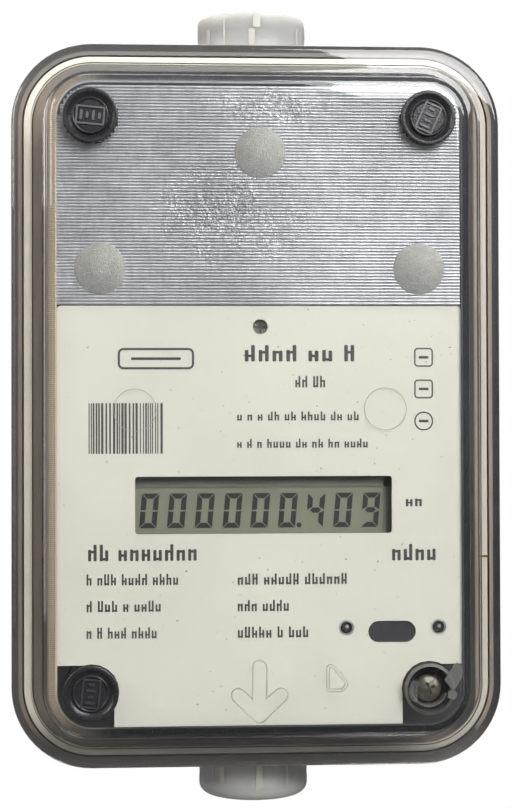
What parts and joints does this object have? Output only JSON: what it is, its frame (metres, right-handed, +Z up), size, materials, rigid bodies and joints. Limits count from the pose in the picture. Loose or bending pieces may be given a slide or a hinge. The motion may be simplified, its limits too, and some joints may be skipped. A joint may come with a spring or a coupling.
{
  "type": "gas meter",
  "caption": "Compact in-line domestic gas meter: dark cast case, clear front cover with sealed screws, white faceplate with display, capped threaded ports top and bottom.",
  "frame": {"origin": "centre of the flat rear face of the housing", "axes": "+Z up along the pipe axis towards the inlet, +Y out of the rear face, +X to the right seen from the front, so the front faces -Y"},
  "size_m": [0.1222, 0.0652, 0.2028],
  "materials": {
    "cast_housing": "dark powder coat on a die casting, fine orange peel",
    "clear_cover": "clear polycarbonate, slightly smoky, ridged inside its upper window",
    "cap_plastic": "milky grey polyethylene",
    "silicone": "beige silicone cord",
    "black_rubber": "matte black rubber",
    "steel": "zinc-plated steel",
    "aluminium": "machined die casting",
    "black_plastic": "fine matte moulding",
    "white_panel": "off-white printed plate, eggshell",
    "board_green": "solder-masked circuit board",
    "lcd_glass": "grey-green reflective display glass",
    "diode_plastic": "dark domed diode resin",
    "brass": "nickel-free machined brass",
    "seal_plastic": "black moulded seal cup, satin",
    "cell_sleeve": "silver heat-shrunk sleeve on a lithium cell"
  },
  "bodies": {
    "meter": {"rear_housing": "cast_housing", "case_gasket": "silicone", "inlet_nipple": "brass", "outlet_nipple": "brass", "inlet_o_ring": "black_rubber", "outlet_o_ring": "black_rubber", "inlet_lock_nut": "brass", "outlet_lock_nut": "brass", "inlet_filter": "steel", "flow_block": "aluminium", "oscillator_plate": "aluminium", "flow_block_gasket": "black_rubber", "flow_block_lid": "aluminium", "lid_screw_1": "steel", "lid_screw_2": "steel", "lid_screw_3": "steel", "lid_screw_4": "steel", "tray_screw_1": "steel", "tray_screw_2": "steel", "tray_screw_3": "steel", "tray_screw_4": "steel", "flow_sensor_left": "steel", "flow_sensor_right": "steel", "sensor_lead_left": "black_rubber", "sensor_lead_right": "black_rubber", "battery_contact_left": "steel", "battery_contact_right": "steel", "electronics_tray": "black_plastic", "circuit_board": "board_green", "board_screw_top": "steel", "board_screw_left": "steel", "board_screw_right": "steel", "controller_chip": "black_plastic", "crystal_can": "steel", "board_connector": "white_panel", "pulse_capacitor": "black_plastic", "lcd_bezel": "black_plastic", "lcd_glass": "lcd_glass", "lcd_contact_upper": "black_rubber", "lcd_contact_lower": "black_rubber", "ir_emitter": "diode_plastic", "ir_receiver": "diode_plastic", "port_window": "black_plastic", "battery_holder": "black_plastic", "battery_cell_1": "cell_sleeve", "battery_cell_2": "cell_sleeve", "faceplate": "white_panel"},
    "front_cover_set": {"front_cover": "clear_cover", "cover_screw_top_left": "steel", "cover_screw_top_right": "steel", "cover_screw_bottom_left": "steel", "cover_screw_bottom_right": "steel", "seal_plug_top_left": "seal_plastic", "seal_plug_top_right": "seal_plastic", "seal_plug_bottom_left": "seal_plastic", "broken_seal": "clear_cover"},
    "inlet_cap": {"inlet_cap": "cap_plastic"},
    "outlet_cap": {"outlet_cap": "cap_plastic"}
  },
  "joints": [
    {"name": "cover_lift", "type": "slide", "parent": "meter", "child": "front_cover_set", "axis": [0, -1, 0], "range_m": [0, 0.06]},
    {"name": "inlet_cap_pull", "type": "slide", "parent": "meter", "child": "inlet_cap", "axis": [0, 0, 1], "range_m": [0, 0.03]},
    {"name": "outlet_cap_pull", "type": "slide", "parent": "meter", "child": "outlet_cap", "axis": [0, 0, -1], "range_m": [0, 0.03]}
  ]
}
